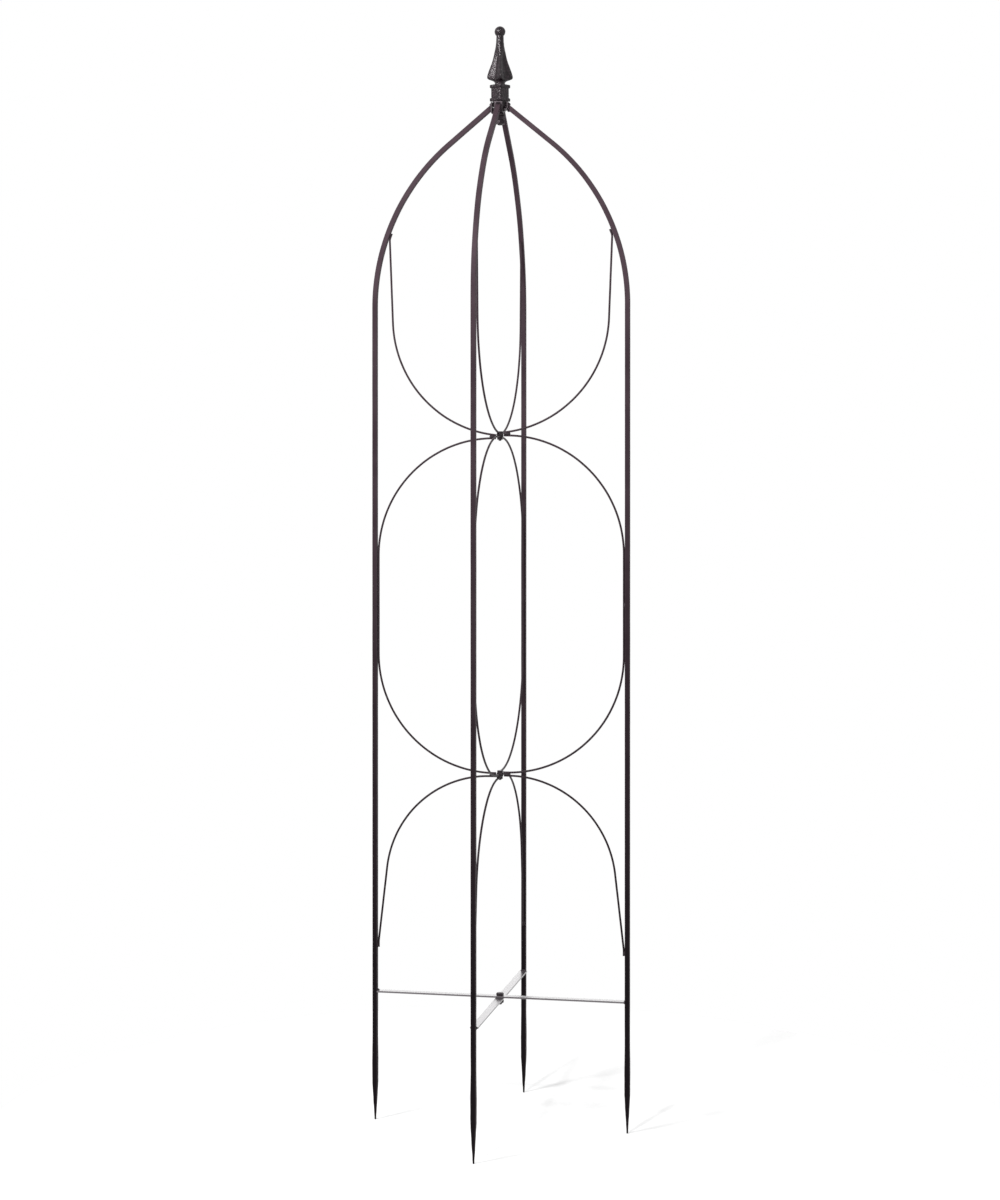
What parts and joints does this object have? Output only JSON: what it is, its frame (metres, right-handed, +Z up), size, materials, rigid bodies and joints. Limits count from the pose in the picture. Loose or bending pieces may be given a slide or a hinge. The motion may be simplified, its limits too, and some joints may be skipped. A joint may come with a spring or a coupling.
{
  "type": "garden obelisk",
  "caption": "Tall four-legged arched metal obelisk with bowed wires, a cross brace, pointed ground stakes and a cast finial, for climbing plants.",
  "frame": {"origin": "on the ground plane, midway between the four stake tips", "axes": "+Z up along the centre axis to the finial, +X through the right leg, -Y through the front leg"},
  "size_m": [0.5096, 0.5096, 2.134],
  "materials": {
    "leg_bar": "semi-gloss dark brown-black powder coat on square bar",
    "wire": "semi-gloss dark brown-black powder coat on round wire",
    "brace": "semi-gloss dark brown-black powder coat on flat bar",
    "hardware": "black painted tabs, bolts, nuts and washer",
    "finial_casting": "painted sand casting with a fine rough skin"
  },
  "bodies": {
    "root": {"leg_right": "leg_bar", "upper_wire_right": "wire", "middle_wire_right": "wire", "lower_wire_right": "wire", "crown_tab_right": "hardware", "upper_knot_tab_right": "hardware", "lower_knot_tab_right": "hardware", "leg_back": "leg_bar", "upper_wire_back": "wire", "middle_wire_back": "wire", "lower_wire_back": "wire", "crown_tab_back": "hardware", "upper_knot_tab_back": "hardware", "lower_knot_tab_back": "hardware", "leg_left": "leg_bar", "upper_wire_left": "wire", "middle_wire_left": "wire", "lower_wire_left": "wire", "crown_tab_left": "hardware", "upper_knot_tab_left": "hardware", "lower_knot_tab_left": "hardware", "leg_front": "leg_bar", "upper_wire_front": "wire", "middle_wire_front": "wire", "lower_wire_front": "wire", "crown_tab_front": "hardware", "upper_knot_tab_front": "hardware", "lower_knot_tab_front": "hardware", "upper_knot_bolt": "hardware", "upper_knot_nut": "hardware", "lower_knot_bolt": "hardware", "lower_knot_nut": "hardware", "brace_bolt": "hardware", "brace_nut": "hardware", "brace_bar_left_right": "brace", "brace_bar_front_back": "brace", "finial": "finial_casting", "finial_stud": "hardware", "crown_washer": "hardware", "crown_nut": "hardware", "crown_lock_nut": "hardware"}
  },
  "joints": []
}
